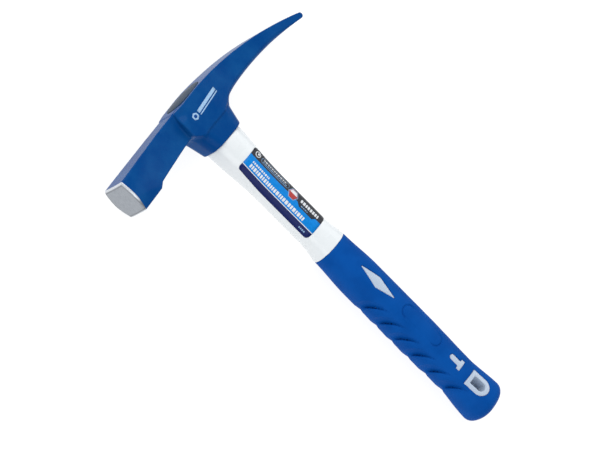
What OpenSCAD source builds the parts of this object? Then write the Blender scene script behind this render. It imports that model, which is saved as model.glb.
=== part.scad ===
// Bricklayer's hammer lying on its side: a forged head with a square face and a drooping chisel blade,
// potted with resin onto a fibreglass core that wears a moulded jacket and a soft rubber grip.
// +X runs along the handle to the butt, +Y towards the blade, and Z = 0 is the cheek it rests on.
// X = 0 is the axis of the striking face, and Y = 0 is the axis of the handle.

/* [Head] */
// Side of the square striking face
face_w = 24.5; // [22:0.5:27]
// Thickness of the striking end, whose sides bow outwards
face_t = 26; // [24:0.5:28]
// Width of the ground chamfer round the striking face
face_chamfer = 1; // [0.5:0.1:2]
// Distance from the handle's axis to the striking face
poll_reach = 83.5; // [76:0.5:90]
// Distance from the handle's axis to the end of the blade
blade_reach = 103.5; // [98:0.5:108]
// Height of the head's crown above the axis of the striking face
crown_h = 15.5; // [14:0.5:17]
// Thickness of the head across the cheeks of the eye
cheek_t = 30; // [28:1:34]
// Thickness of the neck at its waist, behind the striking face
waist_t = 18; // [14:1:20]
// Width of the blade where it leaves the eye
blade_root_t = 27; // [24:1:28]
// Width of the blade at its edge
blade_edge_t = 30; // [28:1:30]
// Radius of the blade's curved top
blade_top_r = 249; // [240:1:280]
// Radius of the blade's hollow underside
blade_under_r = 220; // [200:10:240]

/* [Collar and eye] */
// Distance from the axis of the striking face to the collar's mouth
collar_end = 23; // [20:1:26]
// Width of the collar at its mouth
collar_w = 30.5; // [29:0.5:33]
// Thickness of the collar at its mouth
collar_t = 25.5; // [24:0.5:27]
// Length of the eye across the head, in the collar
eye_w = 27; // [25:0.5:28]
// Thickness of the eye in the collar
eye_t = 18; // [16:0.5:20]
// Length of the eye's wider mouth at the crown
mouth_w = 29; // [27:0.5:30]
// Thickness of the eye's wider mouth at the crown
mouth_t = 23; // [20:0.5:24]

/* [Handle] */
// Distance from the axis of the striking face to the end of the butt
butt_x = 281; // [276:1:290]
// Distance from the axis of the striking face to the grip's front edge
grip_x = 125; // [118:1:132]
// Thickness of the soft rubber over the jacket
skin = 3; // [2:0.5:4]
// Thickness of the handle's neck over its width
oval = 0.86; // [0.8:0.01:0.9]
// Thickness of the grip over its width
grip_oval = 0.95; // [0.9:0.01:0.97]
// Width of the fibreglass core
core_w = 16; // [14:0.5:17]
// Thickness of the fibreglass core
core_t = 11; // [9:0.5:12]

/* [Hang hole] */
// Distance from the axis of the striking face to the hang hole's flat side
hole_x = 255; // [252:1:258]
// Length of the hang hole along the handle
hole_l = 10.5; // [8:0.5:11]
// Width of the hang hole
hole_w = 6.5; // [5:0.5:8]
// Width of the jacket's rim that shows round the hang hole
hole_rim = 3.4; // [2.5:0.1:4]

/* [Label] */
// Distance from the axis of the striking face to the label's first edge
label_x = 41; // [40:0.5:46]
// Length of the label
label_l = 67; // [60:0.5:68]
// Width of the label measured flat
label_w = 20; // [16:0.5:21]

/* [Hidden] */
$fn = 64;
axis_z = cheek_t / 2;
crown_y = 4;            // highest point of the head's curved top
under_x = 3.1;          // highest point of the blade's hollow underside
under_y = 52;
blade_start = 20;       // the blade leaves the eye here
blade_even = 75;        // its width stays the same from here to its edge
edge_top = 1.5;         // the rounded edge starts this far short of the blade's end on top
edge_under = 3;         // and this far short of it underneath
edge_steps = 6;
steps = 14;             // segments in a long curve
sides = 40;             // sides of a handle section
curve = 2.4;            // exponent of the handle's oval: 2 is an ellipse
spigot = 4;             // how far the jacket reaches into the eye
mouth_y = 1.8;          // the eye's mouth opens a little towards the blade
mouth_deep = 7;         // the eye widens over this depth below the crown
potting_proud = 0.8;    // the resin stands this far out of the crown
potting_cover = 2;      // thickness of the resin over the end of the core
proud = 0.4;            // the windows sit this far below the grip's surface
film = 0.25;            // thickness of the label
label_y = -0.5;         // the label is a little off the handle's axis
label_past = 10;        // the film is shaped from a sleeve this much longer at both ends
butt_round = 9.5;       // length of the rounded end of the butt
core_end = 248;         // the core stops before the hang hole
joint_lap = 6;          // the jacket's slimmer part starts this far inside its neck
butt_a = 15.45;         // half width of the butt
neck_start_a = 13.95;   // half width of the handle at the collar
neck_slim = 2.45;       // how much slimmer the neck gets behind the collar
neck_swell = 1.8;       // how much it widens again at the grip
grip_start_a = 13.3;    // half width of the grip's front edge
grip_swell = 1.1;       // how much it widens for the palm
grip_waist = 0.75;      // how much slimmer it gets before the butt
neck_slims = [23, 68];          // where the neck gets slimmer
neck_swells = [110, 126];       // where it widens again
grip_swells = [125, 156];       // where the grip widens for the palm
grip_slims = [205, 250];        // where it gets slimmer again
butt_flares = [246, 274];       // where it widens to the butt
grip_fills = [125, 150];        // where its section gets rounder
butt_fills = [232, 270];        // where it thickens until the butt is as thick as the cheeks
cap_share = 0.7;        // inner layers stop this share of their depth short of the butt's end
window_far = 10;        // the windows are cut this far past both faces
diamond = [146.4, 162.3, 178];  // start, middle and end of the diamond window
diamond_w = 8.4;
diamond_y = 0.7;        // the windows are a little off the handle's axis
tee = [234.4, 240.7, 244];      // end of the T's stem, and the two edges of its bar
tee_stem = 4.4;
tee_bar = 8.4;
tee_y = 1.1;
grooves = 6;
groove_x = 171.5;       // middle of the first cut
groove_y = -12.8;
groove_z = 10.4;
groove_pitch = 15.2;
groove_r = 3;
groove_l = 24;
groove_turn = 28;       // the cuts run this far out of line with the handle
groove_tilt = 28;       // the cuts slope down towards the edge of the grip
poll_top = [[-14.5, -36], [-13.4, -60]];    // the neck's slightly arched top
poll_under = [[4.8, -20], [8.5, -58.5], [11, -62.7]];   // the neck's underside and the step before the face
waist = [-92, -20];     // the neck narrows over this span
below_top = 20;         // a point well inside the head, below its top
mouth_step = 0.1;
past = 5;               // the eye is cut this far past both its ends
slab_l = 1;             // length of each end of the collar
// The cheek's outline, a little larger than the head at the crown so that the head's own top cuts it
cheek_points = [
    [-16.5, -16], [-6, -19.5], [3.5, -20.5], [11, -13], [9.5, -8], [9.5, 14], [3, 21], [-16.5, 21]
];
half_space = 50;        // more than the head's reach along X
collar_start = 6;
collar_root_w = 39.2;
collar_root_t = 28.5;
corner_r = 9;           // rounding of the collar's corners
core_r = 3;             // rounding of the core's corners

// ---- outlines ----

// Rises smoothly from 0 to 1 over a span of x
function blend(x, span) = let (t = max(0, min(1, (x - span[0]) / (span[1] - span[0])))) t * t * (3 - 2 * t);

// Points of the blade's top, from the crown to the edge
function blade_top() =
    let (r = blade_top_r, last = asin((blade_reach - edge_top - crown_y) / r))
    [for (i = [0:steps]) let (a = last * i / steps) [r - crown_h - r * cos(a), crown_y + r * sin(a)]];

// Points of the blade's underside, from the edge back to the eye
function blade_under() =
    let (r = blade_under_r, first = asin((blade_reach - edge_under - under_y) / r),
        last = asin((blade_start - under_y) / r))
    [for (i = [0:steps]) let (a = first + (last - first) * i / steps)
        [under_x + r - r * cos(a), under_y + r * sin(a)]];

// Half thickness of the head at a place along the blade and neck
function head_half_t(y) =
    y < face_chamfer - poll_reach ? face_t / 2 - face_chamfer :
    y < 0 ? face_t / 2 + (waist_t - face_t) / 2 * blend(y, waist) :
    blade_root_t / 2 + (blade_edge_t - blade_root_t) / 2 * blend(y, [blade_start, blade_even]);

// Points round the blunt edge, between the last point of the top and the first of the underside
function blade_tip() =
    let (a = blade_top()[steps], b = blade_under()[0], mid = (a + b) / 2, half = (a - b) / 2, n = edge_steps)
    [for (i = [1:n - 1]) let (t = 180 * i / n) mid + half * cos(t) + [-half[1], half[0]] * -sin(t)];

module side_outline() {
    c = face_chamfer;
    polygon(concat(
        [[c - face_w / 2, -poll_reach], [-face_w / 2, c - poll_reach], poll_top[1], poll_top[0]],
        blade_top(),
        blade_tip(),
        blade_under(),
        poll_under,
        [[face_w / 2, c - poll_reach], [face_w / 2 - c, -poll_reach]]
    ));
}

module half_thickness_outline() {
    count = 36;             // points along the head
    from = face_chamfer - poll_reach;
    ys = concat([-poll_reach], [for (i = [0:count - 1]) from + (blade_reach - from) * i / (count - 1)]);
    polygon(concat(
        [for (y = ys) [y, head_half_t(y)]],
        [for (i = [count:-1:0]) [ys[i], -head_half_t(ys[i])]]
    ));
}

// A rounded rectangle across the handle, wide in Y and thick in Z
module slab(w, t, r, h) {
    translate([0, 0, axis_z])
    rotate([90, 0, 90])
    linear_extrude(h)
    union() {
        square([w - 2 * r, t], center = true);
        square([w, t - 2 * r], center = true);
        for (sy = [-1, 1], sz = [-1, 1])
            translate([sy * (w / 2 - r), sz * (t / 2 - r)])
            circle(r);
    }
}

// ---- handle sections ----

function bulge(v) = sign(v) * pow(abs(v), 2 / curve);
function ring(x, a, b) =
    [for (i = [0:sides - 1]) let (t = 360 * i / sides) [x, a * bulge(cos(t)), axis_z + b * bulge(sin(t))]];

// Half width of the neck, and half width and half thickness of the grip
function neck_a(x) = neck_start_a - neck_slim * blend(x, neck_slims) + neck_swell * blend(x, neck_swells);
function grip_a(x) = grip_start_a + grip_swell * blend(x, grip_swells) - grip_waist * blend(x, grip_slims)
    + (butt_a - grip_start_a - grip_swell + grip_waist) * blend(x, butt_flares);
function grip_b(x) = (oval + (grip_oval - oval) * blend(x, grip_fills)) * grip_a(x)
    + (axis_z - grip_oval * butt_a) * blend(x, butt_fills);
function butt_cap(x) =
    let (t = max(0, (x - butt_x + butt_round) / butt_round)) pow(1 - pow(t, curve), 1 / curve);

// One closed solid through a list of rings
module loft(rings) {
    n = len(rings);
    polyhedron(
        points = [for (r = rings) each r],
        faces = concat(
            [[for (i = [0:sides - 1]) i]],
            [for (k = [0:n - 2], i = [0:sides - 1]) let (j = (i + 1) % sides)
                each [[k * sides + i, (k + 1) * sides + i, (k + 1) * sides + j],
                      [k * sides + i, (k + 1) * sides + j, k * sides + j]]],
            [[for (i = [sides - 1:-1:0]) (n - 1) * sides + i]]
        )
    );
}

// The neck of the handle, grown outwards by some thickness, between two places
module neck_body(grow, from, to) {
    count = 16;
    loft([for (i = [0:count]) let (x = from + (to - from) * i / count, a = neck_a(x))
        ring(x, a + grow, oval * a + grow)]);
}

// The gripped part of the handle, sunk below the rubber's surface by some depth
module grip_body(sink, from) {
    straight = 22;
    round = 7;
    last_angle = 86;        // the end stays very slightly flat
    cap_x = butt_x - butt_round;
    back = sink * cap_share;
    xs = concat(
        [for (i = [0:straight]) from + (cap_x - from) * i / straight],
        [for (i = [1:round]) cap_x + (butt_round - back) * sin(last_angle * i / round)]
    );
    loft([for (x = xs) let (c = butt_cap(x + back * blend(x, [cap_x, butt_x - sink])))
        ring(x, grip_a(x) * c - sink * c, grip_b(x) * c - sink * c)]);
}

// ---- windows in the grip ----

module diamond_outline() {
    half = diamond_w / 2;
    polygon([
        [diamond[0], diamond_y], [diamond[1], diamond_y - half],
        [diamond[2], diamond_y], [diamond[1], diamond_y + half]
    ]);
}

module tee_outline() {
    translate([0, tee_y])
    union() {
        translate([tee[0], 0]) circle(d = tee_stem);
        translate([tee[0], -tee_stem / 2]) square([tee[2] - tee[0], tee_stem]);
        translate([tee[1], -tee_bar / 2]) square([tee[2] - tee[1], tee_bar]);
    }
}

// A D with its flat side towards the head
module dee_outline(flat_x, length, width) {
    union() {
        translate([flat_x, -width / 2]) square([length - width / 2, width]);
        translate([flat_x + length - width / 2, 0]) circle(d = width);
    }
}

module windows() {
    translate([0, 0, -window_far])
    linear_extrude(cheek_t + 2 * window_far)
    union() {
        diamond_outline();
        tee_outline();
        dee_outline(hole_x - hole_rim, hole_l + 2 * hole_rim, hole_w + 2 * hole_rim);
    }
}

module hang_hole() {
    translate([0, 0, -window_far])
    linear_extrude(cheek_t + 2 * window_far)
    dee_outline(hole_x, hole_l, hole_w);
}

// The six slanted cuts along the edge on the striking face's side, on both faces of the grip
module grooves() {
    for (i = [0:grooves - 1], side = [-1, 1])
        translate([groove_x + groove_pitch * i, groove_y, axis_z + side * groove_z])
        rotate([0, 0, groove_turn])
        rotate([0, 90 - side * groove_tilt, 0])
        cylinder(r = groove_r, h = groove_l, center = true);
}

// ---- the pieces ----

// A slot with round ends across the handle
module slot(w, t, y, from, to) {
    translate([from, y, axis_z])
    rotate([90, 0, 90])
    linear_extrude(to - from)
    union() {
        square([w - t, t], center = true);
        for (s = [-1, 1])
            translate([s * (w - t) / 2, 0]) circle(d = t);
    }
}

// The eye between two places, opening wider towards the crown
module eye(from, to) {
    union() {
        slot(eye_w, eye_t, 0, mouth_deep - crown_h, to);
        hull() {
            slot(mouth_w, mouth_t, mouth_y, from, -crown_h);
            slot(eye_w, eye_t, 0, mouth_deep - crown_h, mouth_deep - crown_h + mouth_step);
        }
    }
}

module head() {
    color("#05488f")
    difference() {
        union() {
            intersection() {
                linear_extrude(cheek_t)
                side_outline();
                translate([-half_space, 0, axis_z])
                rotate([90, 0, 90])
                linear_extrude(2 * half_space)
                half_thickness_outline();
            }
            intersection() {
                linear_extrude(cheek_t)
                polygon(cheek_points);
                linear_extrude(cheek_t)
                polygon(concat(
                    [[-face_w / 2, -poll_reach], poll_top[1], poll_top[0]], blade_top(), [[below_top, 0]]
                ));
            }
            hull() {
                translate([collar_start, 0, 0]) slab(collar_root_w, collar_root_t, corner_r, slab_l);
                translate([collar_end - slab_l, 0, 0]) slab(collar_w, collar_t, corner_r, slab_l);
            }
        }
        eye(-crown_h - past, collar_end + past);
    }
}

module core_bar(from, to) {
    translate([from, 0, 0]) slab(core_w, core_t, core_r, to - from);
}

module eye_potting() {
    color("#403c41")
    difference() {
        eye(-crown_h - potting_proud, collar_end - spigot);
        core_bar(potting_cover - crown_h, collar_end);
    }
}

module fibreglass_core() {
    color("#b9b49c")
    core_bar(potting_cover - crown_h, core_end);
}

module handle_jacket() {
    color("#e6ebee")
    difference() {
        union() {
            slot(eye_w, eye_t, 0, collar_end - spigot, collar_end);
            neck_body(0, collar_end, grip_x);
            grip_body(skin, grip_x - joint_lap);
            intersection() {
                windows();
                grip_body(proud, grip_x);
            }
        }
        core_bar(0, core_end);
        hang_hole();
    }
}

module grip() {
    color("#0a55aa")
    difference() {
        grip_body(0, grip_x);
        grip_body(skin, grip_x - joint_lap);
        windows();
        grooves();
    }
}

module label() {
    color("#1284dc")
    intersection() {
        difference() {
            neck_body(film, label_x - label_past, label_x + label_l + label_past);
            neck_body(0, collar_end, grip_x);
        }
        translate([label_x, label_y - label_w / 2, axis_z])
        cube([label_l, label_w, axis_z]);
    }
}

head();
eye_potting();
fibreglass_core();
handle_jacket();
grip();
label();
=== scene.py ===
import math
import random

import bpy
import numpy as np
from mathutils import Matrix, Vector


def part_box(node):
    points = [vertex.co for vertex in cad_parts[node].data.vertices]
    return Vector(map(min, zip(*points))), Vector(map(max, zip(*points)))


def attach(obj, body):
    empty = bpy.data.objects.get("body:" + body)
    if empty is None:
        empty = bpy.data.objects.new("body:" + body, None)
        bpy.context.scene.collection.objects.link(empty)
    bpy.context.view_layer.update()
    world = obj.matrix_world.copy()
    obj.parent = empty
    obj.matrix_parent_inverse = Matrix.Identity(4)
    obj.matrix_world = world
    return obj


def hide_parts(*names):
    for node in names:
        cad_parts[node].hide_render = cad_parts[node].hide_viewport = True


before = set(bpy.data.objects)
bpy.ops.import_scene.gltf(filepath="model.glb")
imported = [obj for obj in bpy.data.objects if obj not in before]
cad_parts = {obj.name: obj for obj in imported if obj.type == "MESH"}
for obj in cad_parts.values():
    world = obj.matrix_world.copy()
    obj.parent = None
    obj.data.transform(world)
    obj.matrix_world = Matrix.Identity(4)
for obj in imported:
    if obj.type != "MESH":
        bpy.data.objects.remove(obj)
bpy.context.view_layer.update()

# A bricklayer's hammer lying on its side. Shapes are worked out in millimetres as distance fields
# (negative inside), meshed on a fine grid and then drawn onto the exact surface.

MM = 0.001
random.seed(7)


# ---------- places and sizes, from the frame ----------

def box_mm(node):
    lo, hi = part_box(node)
    return lo / MM, hi / MM


HEAD_LO, HEAD_HI = box_mm("head")
JACKET_LO, JACKET_HI = box_mm("handle_jacket")
GRIP_LO, GRIP_HI = box_mm("grip")
LABEL_LO, LABEL_HI = box_mm("label")
POTTING_LO, POTTING_HI = box_mm("eye_potting")
CORE_LO, CORE_HI = box_mm("fibreglass_core")

AXIS_Z = (HEAD_LO.z + HEAD_HI.z) / 2    # height of the handle's axis above the floor
CROWN_X = HEAD_LO.x                     # top of the head
COLLAR_END = HEAD_HI.x                  # mouth of the collar
FACE_Y = HEAD_LO.y                      # striking face
TIP_Y = HEAD_HI.y                       # end of the blade
CHEEK = (HEAD_HI.z - HEAD_LO.z) / 2     # half thickness of the head over the cheeks
GRIP_X = GRIP_LO.x                      # front edge of the grip
BUTT_X = GRIP_HI.x                      # end of the butt

FACE_HALF = 12.25                       # half the side of the square face
FACE_DOME = 150                         # radius of the slightly domed face
FACE_CHAMFER = 1.0                      # ground edge round the face
EYE_W, EYE_T = 27, 18                   # the eye in the collar
MOUTH_W, MOUTH_T = POTTING_HI.y - POTTING_LO.y, POTTING_HI.z - POTTING_LO.z
MOUTH_Y = (POTTING_HI.y + POTTING_LO.y) / 2     # its wider mouth lies a little towards the blade
MOUTH_DEEP = 7                          # it opens wider over this depth below the crown
CORE_W, CORE_T = CORE_HI.y - CORE_LO.y, CORE_HI.z - CORE_LO.z
OVAL, GRIP_OVAL = 0.86, 0.95            # thickness of the neck and of the grip over their width
CURVE = 2.4                             # exponent of the handle's oval section
CORE_R = 3                              # rounding of the core's corners
BUTT_ROUND = 9.5                        # length of the rounded end
SKIN = 3                                # thickness of the rubber
PROUD = 0.4                             # the windows sit this far below the rubber
HOLE_X, HOLE_L, HOLE_W = 255, 10.5, 6.5     # the hang hole
HOLE_RIM = 3.4                          # width of the white rim round it
SEAM = 0.05                             # gap left between pieces that touch
OUTSIDE = -9                            # stands for a field that is left out of a cut


# ---------- distance fields ----------

def blend(v, start, end):
    t = np.clip((v - start) / (end - start), 0, 1)
    return t * t * (3 - 2 * t)


def round_and(a, b, r):
    """Where both fields are inside, with the edge between them rounded to radius r."""
    return np.minimum(-r, np.maximum(a, b)) + np.hypot(np.maximum(r + a, 0), np.maximum(r + b, 0))


def round_or(a, b, r):
    """Either field, with a fillet of radius r in the corner between them."""
    return np.maximum(r, np.minimum(a, b)) - np.hypot(np.maximum(r - a, 0), np.maximum(r - b, 0))


def chamfer_and(a, b, size):
    return np.maximum(np.maximum(a, b), (a + b + size) * math.sqrt(0.5))


def outline(x, y, points):
    """Distance from a closed outline in the plane."""
    nearest, inside = np.inf, False
    for (ax, ay), (bx, by) in zip(points, points[1:] + points[:1]):
        ex, ey, wx, wy = bx - ax, by - ay, x - ax, y - ay
        t = np.clip((wx * ex + wy * ey) / (ex * ex + ey * ey), 0, 1)
        nearest = np.minimum(nearest, (wx - ex * t) ** 2 + (wy - ey * t) ** 2)
        above, below, left = y >= ay, y < by, ex * wy > ey * wx
        inside = inside ^ ((above & below & left) | ~(above | below | left))
    return np.where(inside, -1, 1) * np.sqrt(nearest)


def slab(y, z, width, thickness, r):
    """A rounded rectangle across the handle."""
    dy, dz = np.abs(y) - width / 2 + r, np.abs(z - AXIS_Z) - thickness / 2 + r
    return np.minimum(np.maximum(dy, dz), 0) + np.hypot(np.maximum(dy, 0), np.maximum(dz, 0)) - r


def between(v, lo, hi):
    return np.maximum(lo - v, v - hi)


# ---------- from a field to a mesh ----------

NEWTON_STEPS = 3
MARGIN_STEPS = 2.3                      # the grid reaches this many steps past the box


def surface_net(values):
    """Corner points, in grid steps, and quads of the surface where a 3-D grid of values changes sign."""
    cells = tuple(n - 1 for n in values.shape)
    ids, points, quads = [], [], []
    for axis in range(3):
        u, v = (axis + 1) % 3, (axis + 2) % 3
        first = np.take(values, range(0, values.shape[axis] - 1), axis)
        second = np.take(values, range(1, values.shape[axis]), axis)
        edges = np.argwhere((first < 0) != (second < 0))
        a, b = first[tuple(edges.T)], second[tuple(edges.T)]
        place = edges.astype(float)
        place[:, axis] += a / (a - b)
        around = []
        for du, dv in ((1, 1), (0, 1), (0, 0), (1, 0)):
            cell = edges.copy()
            cell[:, u] -= du
            cell[:, v] -= dv
            around.append(np.ravel_multi_index(cell.T, cells))
            points.append(place)
        ids += around
        quad = np.stack(around, 1)
        quads.append(np.where((a < 0)[:, None], quad, quad[:, ::-1]))
    ids, points, quads = np.concatenate(ids), np.concatenate(points), np.concatenate(quads)
    used, place_of = np.unique(ids, return_inverse=True)
    count = np.bincount(place_of)
    corners = np.stack([np.bincount(place_of, points[:, k]) / count for k in range(3)], 1)
    return corners, np.searchsorted(used, quads)


def onto_surface(field, p, reach):
    """Moves points onto the surface of a field, a few Newton steps of at most one reach each."""
    h = 0.01
    flattest = 0.05
    for _ in range(NEWTON_STEPS):
        here = field(*p.T)
        slope = np.stack([(field(*(p + d).T) - here) / h for d in np.eye(3) * h], 1)
        step = (here / np.maximum((slope ** 2).sum(1), flattest))[:, None] * slope
        length = np.linalg.norm(step, axis=1, keepdims=True)
        p = p - step * np.minimum(1, reach / np.maximum(length, 1e-9))
    return p


def relax(p, quads):
    """Evens out the spacing of the points: each moves towards the middle of the faces round it."""
    middles = p[quads].mean(1)
    flat = quads.ravel()
    count = np.bincount(flat, minlength=len(p))
    near = np.repeat(middles, 4, axis=0)
    return np.stack([np.bincount(flat, near[:, k], len(p)) / count for k in range(3)], 1)


def mesh_field(name, field, lo, hi, step):
    """An object whose surface is the zero of a field, inside a box in millimetres."""
    margin = MARGIN_STEPS * step
    axes = [np.arange(a - margin, b + margin + step, step) for a, b in zip(lo, hi)]
    grid = np.ix_(*axes)
    values = np.broadcast_to(field(*grid), [len(a) for a in axes])
    corners, quads = surface_net(values)
    p = corners * step + [a[0] for a in axes]
    p = onto_surface(field, p, step)
    p = onto_surface(field, relax(p, quads), step)
    return new_piece(name, p, quads.tolist())


def new_piece(name, points, faces):
    mesh = bpy.data.meshes.new(name)
    mesh.from_pydata((np.asarray(points) * MM).tolist(), [], faces)
    mesh.validate()
    mesh.polygons.foreach_set("use_smooth", [True] * len(mesh.polygons))
    piece = bpy.data.objects.new(name, mesh)
    bpy.context.scene.collection.objects.link(piece)
    return piece


def paint_values(piece, name, values):
    """Stores one number per point, for a material to read."""
    attribute = piece.data.attributes.new(name, "FLOAT", "POINT")
    attribute.data.foreach_set("value", np.asarray(values, np.float32))


# ---------- the head ----------

TOP_R, UNDER_R = 249, 220               # the blade's curved top and hollow underside
TOP_Y = 4                               # highest point of the top
UNDER_X, UNDER_Y = 3.1, 52              # highest point of the hollow
BLADE_START = 20
EDGE_TOP, EDGE_UNDER = 1.5, 3           # the blunt edge starts this far short of the blade's end
CURVE_POINTS, TIP_POINTS = 24, 12       # points along the blade's curves and round its edge
FACE_CUT = 6                            # the outline runs on past the face, which is cut afterwards


def blade_outline():
    """Points of the blade from the crown round its blunt edge and back to the eye."""
    last = math.asin((TIP_Y - EDGE_TOP - TOP_Y) / TOP_R)
    top = [(TOP_R + CROWN_X - TOP_R * math.cos(a), TOP_Y + TOP_R * math.sin(a))
           for a in np.linspace(0, last, CURVE_POINTS)]
    first, end = (math.asin((y - UNDER_Y) / UNDER_R) for y in (TIP_Y - EDGE_UNDER, BLADE_START))
    under = [(UNDER_X + UNDER_R - UNDER_R * math.cos(a), UNDER_Y + UNDER_R * math.sin(a))
             for a in np.linspace(first, end, CURVE_POINTS)]
    (ax, ay), (bx, by) = top[-1], under[0]
    mx, my, hx, hy = (ax + bx) / 2, (ay + by) / 2, (ax - bx) / 2, (ay - by) / 2
    tip = [(mx + hx * math.cos(t) + hy * math.sin(t), my + hy * math.cos(t) - hx * math.sin(t))
           for t in np.linspace(0, math.pi, TIP_POINTS)[1:-1]]
    return top + tip + under


# The head's side outline: the neck's arched top, the blade, the neck's underside and the step near the face
SIDE = ([(-FACE_HALF, FACE_Y - FACE_CUT), (-FACE_HALF, FACE_Y), (-13.4, -60), (-14.5, -36)]
        + blade_outline() + [(4.8, -20), (8.5, -58.5), (11, -62.7)]
        + [(FACE_HALF, FACE_Y), (FACE_HALF, FACE_Y - FACE_CUT)])
# The cheek's outline before its corners are rounded to CHEEK_R
CHEEK_R = 4
CHEEK_SIDE = [
    (-24, -11.5), (-6, -16.4), (3, -16.8), (6.2, -13), (5.5, -8), (5.5, 9), (1, 19), (-24, 27)
]
PRINT_ROOM = 0.06                       # room left over the cheeks for the printed mark


def poll_half(x, y):
    """Half thickness of the poll and neck: flared and bowed at the face, narrow before the cheeks."""
    waist, flare, bulge = 9.0, 3.9, 2.4
    bow = bulge * (1 - (x / FACE_HALF) ** 2) * (1 - blend(y, FACE_Y, -46))
    return waist + flare * (1 - blend(y, -92, -20)) + np.maximum(bow, 0)


def blade_half(y):
    """Half width of the blade: a little less than the cheeks at its root, widest at its edge."""
    root, narrows, widens = CHEEK - 0.5, 1.1, 1.6
    return root - narrows * blend(y, 12, 34) + widens * blend(y, 34, 78)


def head_half(x, y):
    return np.where(y < 0, poll_half(x, y), blade_half(y))


def face_rise(x, y, z):
    """Height above the domed face."""
    return (y - FACE_Y) - (x ** 2 + (z - AXIS_Z) ** 2) / (2 * FACE_DOME)


def bar_field(side, x, y, z):
    """The poll, neck and blade. The blade's lower edges are softer, and a facet runs along the poll."""
    edge_r, belly_r, facet_r = 0.8, 4.2, 0.5
    thick = np.abs(z - AXIS_Z) - head_half(x, y)
    belly = blend(x, -8, 4) * blend(y, 8, 30) * (1 - blend(y, 70, 100))
    bar = round_and(side, thick, edge_r + belly_r * belly)
    lean, facet_x = 0.22 * 0.97, 12.5 * blend(y, -86, -50)
    facet = thick + lean * (x - facet_x)
    bar = np.where(y < -40, round_and(bar, facet, facet_r), bar)
    return chamfer_and(bar, -face_rise(x, y, z), FACE_CHAMFER)


def collar_field(x, y, z):
    """The tapered collar, with a shallow round dish in its side towards the face."""
    taper_x, corner_r, edge_r = 2, 9, 0.8
    t = np.clip((x - taper_x) / (COLLAR_END - taper_x), 0, 1)
    width, thick = 40.4 - 10.1 * t ** 0.9, 28 - 2.5 * t
    (dish_x, dish_y, dish_up), dish_r = (9, -38, 17), 22.5
    dish = np.hypot(np.hypot(x - dish_x, y - dish_y), z - AXIS_Z - dish_up) - dish_r
    bar = slab(y - 0.2, z, width, thick, corner_r)
    return round_and(round_and(bar, between(x, 0, COLLAR_END), edge_r), -dish, edge_r)


def cheek_field(side, x, y, z):
    """The raised cheeks, lower towards the blade and bevelled at the crown towards the face."""
    edge_r, crown_r = 1.3, 0.8
    bevel = 2.6 * (1 - blend(y, -18, -10)) * (1 - blend(x, -12, -5))
    half = CHEEK - PRINT_ROOM - 2.2 * blend(y, 6, 30) - bevel
    cheek = round_and(outline(x, y, CHEEK_SIDE) - CHEEK_R, np.abs(z - AXIS_Z) - half, edge_r)
    return round_and(cheek, np.where(x < 0, side, OUTSIDE), crown_r)


def eye_field(x, y, z, inset=0.0):
    """The eye, opening wider over its last few millimetres below the crown."""
    open_up = np.clip(1 - (x - CROWN_X) / MOUTH_DEEP, 0, 1)
    width, thick = EYE_W + (MOUTH_W - EYE_W) * open_up, EYE_T + (MOUTH_T - EYE_T) * open_up
    return slab(y - MOUTH_Y * open_up, z, width - 2 * inset, thick - 2 * inset, thick / 2 - inset)


def head_field(x, y, z):
    side = outline(x, y, SIDE)
    inner = 1 - blend(np.abs(z - AXIS_Z), 9, 13)
    under_poll, under_blade = 1 - blend(y, -14, -6), blend(y, 14, 18) * inner
    collar_fillet = 0.3 + 0.9 * under_poll + 6.5 * under_blade
    cheek_fillet = 0.4 + 0.9 * (1 - blend(y, -14, -8))
    mouth_r = 0.5
    body = round_or(bar_field(side, x, y, z), collar_field(x, y, z), collar_fillet)
    body = round_or(body, cheek_field(side, x, y, z), cheek_fillet)
    body = np.maximum(body, x - COLLAR_END)
    return round_and(body, -eye_field(x, y, z), mouth_r)


def make_head():
    head = mesh_field("forged_head", head_field, HEAD_LO, HEAD_HI, 0.5)
    x, y, z = (np.array([v.co for v in head.data.vertices]) / MM).T
    paint_values(head, "above_face", face_rise(x, y, z))
    from_side = np.maximum(outline(x, y, SIDE), np.abs(z - AXIS_Z) - head_half(x, y))
    paint_values(head, "from_side", from_side)
    head.data.materials.append(head_material())
    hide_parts("head")
    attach(head, "root")


# ---------- the eye ----------

EYE_GAP = 0.02                          # what fills the eye stays this far off its wall


def potting_field(x, y, z):
    """The resin, poured a little proud of the crown over the end of the core."""
    dome, edge_r = 0.6, 0.5
    across = np.clip(-eye_field(x, y, z) / (MOUTH_T / 2), 0, 1)
    top = POTTING_LO.x + dome * (1 - across) ** 2
    body = round_and(eye_field(x, y, z, EYE_GAP), between(x, top, POTTING_HI.x), edge_r)
    return np.maximum(body, -np.maximum(core_field(y, z), CORE_LO.x - x))


def core_field(y, z):
    return slab(y, z, CORE_W, CORE_T, CORE_R)


def make_potting():
    potting = mesh_field("eye_resin", potting_field, POTTING_LO, POTTING_HI, 0.6)
    potting.data.materials.append(resin_material())
    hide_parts("eye_potting")
    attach(potting, "root")


def dress_core():
    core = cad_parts["fibreglass_core"]
    core.data.materials.clear()
    core.data.materials.append(fibreglass_material())


# ---------- the handle ----------

def neck_half(x):
    """Half width of the neck: slimmer behind the collar, wider again at the grip."""
    start, slim, swell = 13.95, 2.45, 1.8
    return start - slim * blend(x, COLLAR_END, 68) + swell * blend(x, 110, 126)


def grip_half(x):
    """Half width and half thickness of the grip: a swell for the palm, a waist, and the wide butt."""
    start, palm, waist, butt = 13.3, 1.1, 0.75, 1.8
    half = start + palm * blend(x, GRIP_X, 156) - waist * blend(x, 205, 250) + butt * blend(x, 246, 274)
    oval = OVAL + (GRIP_OVAL - OVAL) * blend(x, GRIP_X, 150)
    return half, oval * half + (CHEEK - GRIP_OVAL * GRIP_HI.y) * blend(x, 232, 270)


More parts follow.
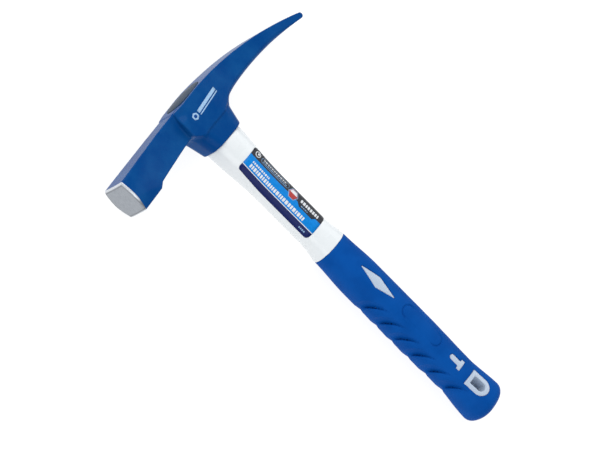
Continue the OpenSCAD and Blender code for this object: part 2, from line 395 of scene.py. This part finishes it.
def oval_field(y, z, a, b, end=0.0):
    """An oval across the handle. end, from 0 to 1, rounds it off at the butt."""
    power = np.abs(y / a) ** CURVE + np.abs((z - AXIS_Z) / b) ** CURVE + end ** CURVE
    return (power ** (1 / CURVE) - 1) * np.minimum(a, b)


def neck_field(x, y, z):
    a = neck_half(x)
    return oval_field(y, z, a, OVAL * a)


def handle_field(x, y, z):
    a, b = grip_half(x)
    slant = 0.045 * (y + 5)             # the butt's end leans a little
    return oval_field(y, z, a, b, np.maximum(0, (x + slant - BUTT_X + BUTT_ROUND) / BUTT_ROUND))


def dee(x, y, start, length, width):
    """A D with its flat side towards the head."""
    bar = np.maximum(between(x, start, start + length - width / 2), np.abs(y) - width / 2)
    return np.minimum(bar, np.hypot(x - start - length + width / 2, y) - width / 2)


DIAMOND = [(146.9, 0.7), (163.1, -3.2), (177.5, 0.9), (161.5, 4.3)]
DIAMOND_R = 0.5                         # rounding of its corners
TEE_Y = 1.1                             # the T lies a little off the handle's axis
TEE_X, TEE_STEM = 234.4, 2.2            # round end of the T's stem, and half the stem's width
TEE_BAR, TEE_BAR_HALF, TEE_R = (240.9, 243.8), 4, 0.2


def window_field(x, y):
    """The diamond, the T and the D through which the white jacket shows."""
    off = np.abs(y - TEE_Y)
    stem = np.maximum(between(x, TEE_X, 242), off - TEE_STEM)
    tee = np.minimum(np.hypot(x - TEE_X, off) - TEE_STEM, stem)
    tee = np.minimum(tee, np.maximum(between(x, *TEE_BAR), off - TEE_BAR_HALF) - TEE_R)
    rim = dee(x, y, HOLE_X - HOLE_RIM, HOLE_L + 2 * HOLE_RIM, HOLE_W + 2 * HOLE_RIM)
    return np.minimum(np.minimum(outline(x, y, DIAMOND) - DIAMOND_R, tee), rim)


def hole_field(x, y):
    return dee(x, y, HOLE_X, HOLE_L, HOLE_W)


def jacket_field(x, y, z):
    """The white body: its neck, the part inside the rubber, the windows' pads and the end in the eye."""
    neck_r, pad_r, hole_r, lap = 0.4, 0.3, 0.7, 6
    handle = handle_field(x, y, z)
    under_rubber = handle + SKIN + SEAM
    neck = round_and(neck_field(x, y, z), between(x, COLLAR_END + SEAM, GRIP_X + 2), neck_r)
    neck = np.maximum(neck, np.where(x > GRIP_X - SEAM, under_rubber, OUTSIDE))
    inner = np.maximum(under_rubber, GRIP_X - lap - x)
    pads = round_and(np.maximum(handle + PROUD, GRIP_X - x), window_field(x, y) + 0.06, pad_r)
    spigot = np.maximum(eye_field(x, y, z, EYE_GAP), between(x, POTTING_HI.x, COLLAR_END + 1))
    body = np.minimum(np.minimum(neck, inner), np.minimum(pads, spigot))
    body = round_and(body, -hole_field(x, y), hole_r)
    return np.maximum(body, -np.maximum(core_field(y, z), x - CORE_HI.x))


GROOVE_X, GROOVE_PITCH, GROOVES = 164.7, 15.2, 6
GROOVE_Y = -13.5                        # the slits start here, at the edge of the grip
GROOVE_TURN = (0.883, 0.469)            # the scales' edges run this way
GROOVE_BEND = 0.012                     # and curve a little
SLIT_DEEP, RISE = 2.2, 0.5              # depth of a slit, and height of the step beside it
RISE_W = 5.6                            # the step fades out over this width


def scales(x, y, z):
    """Depth of the overlapping scales along the grip's edge: a slit, a step, then a slow rise."""
    depth = 0.0
    up = z - AXIS_Z
    shallow = 0.35                      # share of the depth that is left round the side of the grip
    share = shallow + (1 - shallow) * np.maximum(blend(up, -2, 3), blend(-up, 8, 11))
    c, s = GROOVE_TURN
    for i in range(GROOVES):
        from_x, from_y = x - GROOVE_X - GROOVE_PITCH * i, y - GROOVE_Y
        along = from_x * c + from_y * s
        across = from_x * s - from_y * c - GROOVE_BEND * along ** 2 * (along > 0)
        rise = RISE * blend(across, -0.3, 0.4) * (1 - np.clip((across - 0.4) / RISE_W, 0, 1))
        rise = rise * (1 - blend(along, 9, 20)) * blend(along, 2, 9)
        wide = 0.4 + 1.4 * blend(along, -2, 2) * (1 - blend(along, 5, 17))
        slit = SLIT_DEEP * np.clip(1 - np.abs(across - 0.5 * wide) / wide, 0, 1)
        slit = slit * share * blend(along, -3, 0.5) * (1 - blend(along, 8, 20))
        depth = np.maximum(depth, rise + slit)
    return depth


PAD_X, PAD_Y = 204.8, 1.4               # middle of the thumb pad
PAD_HALF, PAD_R = 13, 5                 # half length of its straight part, and radius of its ends
PAD_LINE = 0.8                          # depth of the line round it


def pad_line(x, y):
    """The fine line round the thumb pad, deepest at its two ends."""
    faint = 0.12                        # share of the depth that is left along its sides
    spine = np.clip(x, PAD_X - PAD_HALF, PAD_X + PAD_HALF - 0.6)
    ring = np.abs(np.hypot(x - spine, y - PAD_Y) - PAD_R)
    ends = faint + (1 - faint) * blend(np.abs(x - PAD_X), 9, 15)
    return PAD_LINE * ends * (1 - blend(ring, 0.1, 0.9))


def grip_field(x, y, z):
    """The rubber: scales on one edge, faint finger waves on the other, and the windows cut through it."""
    wave, front_r, window_r = 0.05, 0.5, 0.35
    handle = handle_field(x, y, z)
    waves = wave * (0.5 - 0.5 * np.cos(2 * math.pi * (x - 180) / GROOVE_PITCH))
    waves = waves * blend(x, 176, 186) * (1 - blend(x, 250, 258)) * blend(y, 9, 14)
    skin = round_and(handle + scales(x, y, z) + pad_line(x, y) + waves, GRIP_X - x, front_r)
    skin = round_and(skin, -window_field(x, y), window_r)
    return np.maximum(skin, -(handle + SKIN))


def make_jacket():
    jacket = mesh_field("jacket", jacket_field, JACKET_LO, JACKET_HI, 0.6)
    edge = 0.3
    in_grip = [blend(v.co.x / MM, GRIP_X - edge, GRIP_X + edge) for v in jacket.data.vertices]
    paint_values(jacket, "in_grip", in_grip)
    jacket.data.materials.append(jacket_material())
    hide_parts("handle_jacket")
    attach(jacket, "root")


def make_grip():
    grip = mesh_field("rubber_grip", grip_field, GRIP_LO, GRIP_HI, 0.55)
    grip.data.materials.append(rubber_material())
    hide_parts("grip")
    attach(grip, "root")


# ---------- the label and the print ----------

def on_neck(x, y, lift):
    """The point of the jacket's near side over (x, y), lifted off it."""
    a = neck_half(x)
    inside = max(0.0, 1 - abs(y / a) ** CURVE)
    return (x, y, AXIS_Z + OVAL * a * inside ** (1 / CURVE) + lift)


def on_cheek(x, y, lift):
    return (x, y, HEAD_HI.z - PRINT_ROOM + lift)


def rounded(x0, x1, y0, y1, r):
    """A rectangle's outline with its corners rounded to radius r."""
    points = []
    corners = ((x1 - r, y1 - r, 0), (x0 + r, y1 - r, 90), (x0 + r, y0 + r, 180), (x1 - r, y0 + r, 270))
    for cx, cy, turn in corners:
        for a in np.radians(np.linspace(turn, turn + 90, 7)):
            points.append((cx + r * math.cos(a), cy + r * math.sin(a)))
    return points


def dense(points, gap=0.8):
    """The same outline with extra points, so that it can follow a curved surface."""
    made = []
    for (ax, ay), (bx, by) in zip(points, points[1:] + points[:1]):
        n = max(1, math.ceil(math.hypot(bx - ax, by - ay) / gap))
        made += [(ax + (bx - ax) * i / n, ay + (by - ay) * i / n) for i in range(n)]
    return made


def patch(name, points, place, lift, material, rings=8):
    """A flat shape laid on a curved surface: rings round its middle, with a thin wall at its edge."""
    foot = 0.01                         # height of the wall's foot
    points = dense(points)
    cx, cy = (sum(p[k] for p in points) / len(points) for k in (0, 1))
    shares = [1] + [1 - i / rings for i in range(rings)]
    corners = []
    for k, share in enumerate(shares):
        height = foot if k == 0 else lift
        corners += [place(cx + (px - cx) * share, cy + (py - cy) * share, height) for px, py in points]
    corners.append(place(cx, cy, lift))
    n, count = len(points), len(shares)
    faces = [(k * n + i, k * n + (i + 1) % n, (k + 1) * n + (i + 1) % n, (k + 1) * n + i)
             for k in range(count - 1) for i in range(n)]
    faces += [((count - 1) * n + i, (count - 1) * n + (i + 1) % n, count * n) for i in range(n)]
    piece = new_piece(name, corners, faces)
    piece.data.materials.append(material)
    return piece


def join(pieces, name):
    """Joins pieces into the first, keeping their materials."""
    bpy.ops.object.select_all(action="DESELECT")
    for piece in pieces:
        piece.select_set(True)
    bpy.context.view_layer.objects.active = pieces[0]
    bpy.ops.object.join()
    pieces[0].name = name
    return pieces[0]


def dashes(x0, x1, y0, y1, shortest, longest, gap):
    """Outlines of a row of plain blocks of uneven length."""
    made, x = [], x0
    while x < x1 - shortest:
        end = min(x1, x + random.uniform(shortest, longest))
        made.append(rounded(x, end, y0, y1, min(0.3, (y1 - y0) / 3)))
        x = end + gap
    return made


def circle(cx, cy, r, turns=range(0, 360, 15)):
    return [(cx + r * math.cos(a), cy + r * math.sin(a)) for a in np.radians(turns)]


def hexagon(cx, cy, r):
    return circle(cx, cy, r, range(0, 360, 60))


LABEL_COLOURS = {
    "label_dark": (0.034, 0.036, 0.046),
    "label_blue": (0.002, 0.230, 0.700),
    "label_navy": (0.006, 0.014, 0.110),
    "label_white": (0.80, 0.83, 0.86),
    "label_red": (0.45, 0.055, 0.050),
    "label_pale": (0.28, 0.44, 0.66),
}


def label_shapes():
    """The label's print from the bottom up: outline, height above the jacket, colour and rings."""
    x0, x1 = LABEL_LO.x, LABEL_HI.x
    y0, y1 = LABEL_LO.y, LABEL_HI.y
    wide = y1 - y0
    navy_top, blue_low, blue_top = y0 + 0.180 * wide, y0 + 0.203 * wide, y0 + 0.64 * wide
    icon = (x0 + 4.8, y1 - 3.5)
    badge_x, badge_y = x0 + 40, y1 - 5.6
    shapes = [
        (rounded(x0, x1, y0, y1, 2.2), 0.16, "dark", 20),
        (rounded(x0, x1, y0, y0 + 0.4 * wide, 2.0), 0.18, "navy", 12),
        (rounded(x0, x1, navy_top, blue_low, 0.05), 0.20, "white", 12),
        (rounded(x0, x1, blue_low, blue_top, 0.05), 0.22, "blue", 12),
        ([(x0 + 48, blue_top - 2.2), (x1 - 7, blue_top - 2.2),
          (x1 - 5, blue_top + 0.1), (x0 + 45, blue_top + 0.1)], 0.23, "dark", 4),
        (circle(*icon, 2.3), 0.20, "white", 4),
        (circle(*icon, 1.7), 0.22, "dark", 4),
        (circle(x0 + 5.2, y1 - 3.2, 0.8), 0.24, "white", 4),
        (rounded(x0 + 8.6, x0 + 35, y1 - 5.9, y1 - 1.9, 1.9), 0.19, "pale", 6),
        (rounded(x0 + 8.9, x0 + 34.7, y1 - 5.6, y1 - 2.2, 1.6), 0.21, "dark", 6),
        (hexagon(badge_x, badge_y, 4.5), 0.24, "pale", 4),
        (hexagon(badge_x, badge_y, 3.9), 0.25, "red", 4),
        ([(badge_x - 3.2, badge_y + 0.3), (badge_x + 3.2, badge_y + 0.3),
          (badge_x + 2.0, badge_y + 2.9), (badge_x - 2.0, badge_y + 2.9)], 0.26, "white", 3),
    ]
    # Rows of blocks: where they start, end and sit, their height, length and gaps, and their colour
    rows = [
        (x0 + 5, x1 - 10, blue_low + 1.0, 2.7, 1.0, 2.2, 0.60, "white"),
        (x0 + 5, x0 + 21, blue_low + 4.7, 1.5, 0.8, 1.7, 0.50, "white"),
        (x0 + 10.5, x0 + 33, y1 - 3.6, 0.8, 0.9, 2.2, 0.45, "white"),
        (x0 + 10.5, x0 + 33, y1 - 5.0, 0.6, 0.7, 1.9, 0.45, "pale"),
        (x0 + 47, x1 - 4, blue_top + 1.1, 2.6, 1.0, 2.0, 0.55, "white"),
        (x0 + 49, x1 - 11, blue_top - 1.1, 0.7, 0.7, 1.6, 0.45, "pale"),
        (x1 - 10, x1 - 4, y0 + 1.1, 0.8, 0.6, 1.2, 0.40, "pale"),
    ]
    for start, end, low, tall, shortest, longest, gap, colour in rows:
        blocks = dashes(start, end, low, low + tall, shortest, longest, gap)
        shapes += [(points, 0.26, colour, 2) for points in blocks]
    return shapes


def make_label():
    colours = {name: print_material(name, colour) for name, colour in LABEL_COLOURS.items()}
    pieces = [patch("print", points, on_neck, lift, colours["label_" + colour], rings)
              for points, lift, colour, rings in label_shapes()]
    label = join(pieces, "label_film")
    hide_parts("label")
    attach(label, "root")


def make_mark():
    """A plain printed mark on the near cheek: a ring in a hexagon and two stripes."""
    pale = print_material("mark_pale", (0.36, 0.56, 0.80))
    blue = print_material("mark_blue", (0.0022, 0.060, 0.27))
    film, raised = 0.03, 0.05
    shapes = [(hexagon(-3.4, -9.8, 2.7), film, pale), (hexagon(-3.4, -9.8, 1.4), raised, blue),
              ([(-5.2, -6), (-2.8, -6), (-5.0, 15), (-7.4, 15)], film, pale),
              ([(-2.0, -6), (-1.2, -6), (-3.4, 15), (-4.2, 15)], film, pale)]
    pieces = [patch("mark", points, on_cheek, lift, material, 3)
              for points, lift, material in shapes]
    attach(join(pieces, "cheek_mark"), "root")


# ---------- materials ----------

class Nodes:
    """A material with one Principled shader, and short ways to add nodes to it."""

    def __init__(self, name):
        self.material = bpy.data.materials.new(name)
        self.material.use_nodes = True
        self.tree = self.material.node_tree
        self.shader = self.tree.nodes["Principled BSDF"]

    def add(self, kind, inputs=None, **settings):
        node = self.tree.nodes.new(kind)
        for key, value in settings.items():
            setattr(node, key, value)
        for key, value in (inputs or {}).items():
            self.give(node.inputs[key], value)
        return node

    def give(self, socket, value):
        if isinstance(value, bpy.types.NodeSocket):
            self.tree.links.new(value, socket)
        else:
            socket.default_value = value

    def set(self, **inputs):
        for key, value in inputs.items():
            self.give(self.shader.inputs[key.replace("_", " ").title().replace("Ior", "IOR")], value)

    def place(self, stretch=(1, 1, 1)):
        """Where a point is on the object, in metres, stretched."""
        at = self.add("ShaderNodeTexCoord").outputs["Object"]
        return self.add("ShaderNodeMapping", {"Vector": at, "Scale": stretch}).outputs["Vector"]

    def noise(self, scale, detail, stretch=(1, 1, 1)):
        inputs = {"Vector": self.place(stretch), "Scale": scale, "Detail": detail}
        return self.add("ShaderNodeTexNoise", inputs).outputs["Fac"]

    def ramp(self, value, lo, hi, to_lo=0.0, to_hi=1.0):
        """A value from lo to hi turned smoothly into one from to_lo to to_hi."""
        inputs = {"Value": value, "From Min": lo, "From Max": hi, "To Min": to_lo, "To Max": to_hi}
        node = self.add("ShaderNodeMapRange", inputs, interpolation_type="SMOOTHSTEP")
        return node.outputs["Result"]

    def math(self, operation, a, b=0.0):
        node = self.add("ShaderNodeMath", operation=operation)
        self.give(node.inputs[0], a)
        self.give(node.inputs[1], b)
        return node.outputs["Value"]

    def mix(self, share, a, b):
        node = self.add("ShaderNodeMix", data_type="RGBA")
        self.give(node.inputs["Factor"], share)
        for socket, value in ((node.inputs[6], a), (node.inputs[7], b)):
            self.give(socket, (*value, 1) if isinstance(value, tuple) else value)
        return node.outputs[2]

    def bump(self, height, strength, distance, below=None):
        node = self.add("ShaderNodeBump", {"Height": height, "Strength": strength, "Distance": distance})
        if below is not None:
            self.give(node.inputs["Normal"], below)
        return node.outputs["Normal"]

    def value_of(self, attribute):
        return self.add("ShaderNodeAttribute", attribute_name=attribute).outputs["Fac"]


def head_material():
    """Gloss blue paint, and bare ground steel on the face, with a painted highlight along its rim and a
    dark line inside it.
    """
    m = Nodes("painted_steel")
    above = m.math("ADD", m.value_of("above_face"), m.math("MULTIPLY", m.noise(900, 3), 0.35))
    bare = m.ramp(above, FACE_CHAMFER + 0.75, FACE_CHAMFER + 0.45)
    cloud = m.noise(60, 4)
    grain = m.noise(1500, 3)
    paint = m.mix(m.ramp(cloud, 0.35, 0.7), (0.0006, 0.052, 0.224), (0.0040, 0.072, 0.255))
    paint = m.mix(m.ramp(grain, 0.55, 0.75, 0.0, 0.25), paint, (0.010, 0.095, 0.31))
    from_side = m.value_of("from_side")
    # ring is a painted highlight: a bright band just inside the face's side edges, where the ground chamfer
    # would catch the light.
    ring = m.ramp(from_side, -1.1, -0.75)
    streak = m.noise(500, 4, (1, 0.1, 9))
    steel = m.mix(m.ramp(streak, 0.3, 0.7), (0.30, 0.325, 0.36), (0.42, 0.445, 0.48))
    line = m.math("MULTIPLY", m.ramp(from_side, -2.3, -1.7), m.ramp(from_side, -1.1, -1.5))
    steel = m.mix(m.math("MULTIPLY", line, 0.45), steel, (0.12, 0.12, 0.13))
    # Here the painted highlight band is mixed over the bare steel.
    steel = m.mix(m.math("MULTIPLY", ring, 0.7), steel, (0.80, 0.83, 0.87))
    m.set(base_color=m.mix(bare, paint, steel))
    m.set(metallic=m.math("MULTIPLY", bare, 0.75))
    m.set(roughness=m.ramp(m.math("ADD", bare, m.math("MULTIPLY", cloud, 0.3)), 0.0, 1.3, 0.26, 0.50))
    m.set(specular_ior_level=0.04)
    forged = m.bump(m.noise(140, 2), 0.35, 0.00035)
    m.set(normal=m.bump(grain, 0.25, 0.00006, forged))
    return m.material


def resin_material():
    m = Nodes("epoxy")
    cloud = m.noise(240, 4)
    m.set(base_color=m.mix(m.ramp(cloud, 0.3, 0.7), (0.022, 0.040, 0.072), (0.040, 0.066, 0.110)))
    m.set(roughness=m.ramp(cloud, 0.3, 0.7, 0.24, 0.36), specular_ior_level=0.01)
    m.set(normal=m.bump(m.noise(300, 2), 0.3, 0.0002))
    return m.material


def fibreglass_material():
    m = Nodes("fibreglass")
    strands = m.noise(1600, 2, (0.05, 1, 1))
    m.set(base_color=m.mix(m.ramp(strands, 0.35, 0.65), (0.26, 0.245, 0.18), (0.50, 0.48, 0.38)))
    m.set(roughness=m.ramp(strands, 0.3, 0.7, 0.45, 0.7))
    m.set(normal=m.bump(strands, 0.6, 0.0002))
    return m.material


def jacket_material():
    m = Nodes("white_plastic")
    cloud = m.noise(45, 3)
    speck = m.noise(1400, 2)
    white = m.mix(m.ramp(cloud, 0.35, 0.65), (0.795, 0.83, 0.845), (0.82, 0.85, 0.865))
    m.set(base_color=m.mix(m.value_of("in_grip"), white, (0.47, 0.555, 0.675)))
    m.set(roughness=m.ramp(cloud, 0.3, 0.7, 0.26, 0.34), subsurface_weight=0.08)
    m.shader.inputs["Subsurface Radius"].default_value = (0.002, 0.002, 0.002)
    m.set(normal=m.bump(speck, 0.15, 0.00004))
    return m.material


def rubber_material():
    m = Nodes("blue_rubber")
    cloud = m.noise(70, 3)
    grain = m.noise(1800, 3)
    m.set(base_color=m.mix(m.ramp(cloud, 0.35, 0.65), (0.0010, 0.066, 0.315), (0.0020, 0.078, 0.355)))
    m.set(roughness=m.ramp(grain, 0.3, 0.7, 0.50, 0.64), specular_ior_level=0.035)
    m.set(normal=m.bump(grain, 0.35, 0.00007))
    return m.material


def print_material(name, colour):
    m = Nodes(name)
    paper = m.noise(900, 3)
    shade = 0.86
    darker = tuple(c * shade for c in colour)
    m.set(base_color=m.mix(m.ramp(paper, 0.35, 0.65), darker, colour))
    m.set(roughness=m.ramp(paper, 0.3, 0.7, 0.30, 0.42), specular_ior_level=0.15)
    m.set(normal=m.bump(paper, 0.1, 0.00003))
    return m.material


def floor_material():
    m = Nodes("studio_floor")
    m.set(base_color=m.mix(m.noise(8, 2), (0.19, 0.19, 0.19), (0.21, 0.21, 0.21)))
    m.set(roughness=0.85, emission_color=(1, 1, 1, 1), emission_strength=0.88)
    return m.material


# ---------- the studio ----------

LENS, SENSOR = 226.5, 36
CAMERA_AWAY = 2500                      # distance from the camera to the point it looks at
AIM = Vector((101.26, 0.17, AXIS_Z - 6.48))
CAMERA_RIGHT = Vector((0.6911, 0.5528, 0.4657))
CAMERA_UP = Vector((-0.6953, 0.6843, 0.2195))


def make_camera():
    data = bpy.data.cameras.new("camera")
    data.lens, data.sensor_width = LENS, SENSOR
    camera = bpy.data.objects.new("camera", data)
    right = CAMERA_RIGHT.normalized()
    back = right.cross(CAMERA_UP).normalized()
    up = back.cross(right)
    turn = Matrix((right, up, back)).transposed().to_4x4()
    camera.matrix_world = Matrix.Translation((AIM + back * CAMERA_AWAY) * MM) @ turn
    bpy.context.scene.collection.objects.link(camera)
    bpy.context.scene.camera = camera


def make_floor():
    size = 12                           # half its side, in metres
    mesh = bpy.data.meshes.new("studio_floor")
    corners = [(-size, -size, 0), (size, -size, 0), (size, size, 0), (-size, size, 0)]
    mesh.from_pydata(corners, [], [(0, 1, 2, 3)])
    floor = bpy.data.objects.new("studio_floor", mesh)
    mesh.materials.append(floor_material())
    bpy.context.scene.collection.objects.link(floor)


def make_light(name, place, size, power):
    data = bpy.data.lights.new(name, "AREA")
    data.size, data.energy = size, power
    light = bpy.data.objects.new(name, data)
    light.location = place
    towards = AIM * MM - light.location
    light.rotation_mode = "QUATERNION"
    light.rotation_quaternion = towards.to_track_quat("-Z", "Y")
    bpy.context.scene.collection.objects.link(light)


def make_lights():
    make_light("key", Vector((-1.5, 0.35, 1.5)), 1.6, 27)
    make_light("fill", Vector((0.7, -1.5, 1.5)), 1.6, 17)
    make_light("back", Vector((0.6, 1.6, 1.2)), 1.4, 10)
    world = bpy.data.worlds.new("studio")
    world.use_nodes = True
    background = world.node_tree.nodes["Background"]
    background.inputs["Color"].default_value = (0.95, 0.97, 1.0, 1)
    background.inputs["Strength"].default_value = 0.45
    bpy.context.scene.world = world
    bpy.context.scene.view_settings.view_transform = "Standard"


make_camera()
make_floor()
make_lights()
make_head()
make_potting()
dress_core()
make_jacket()
make_grip()
make_label()
make_mark()
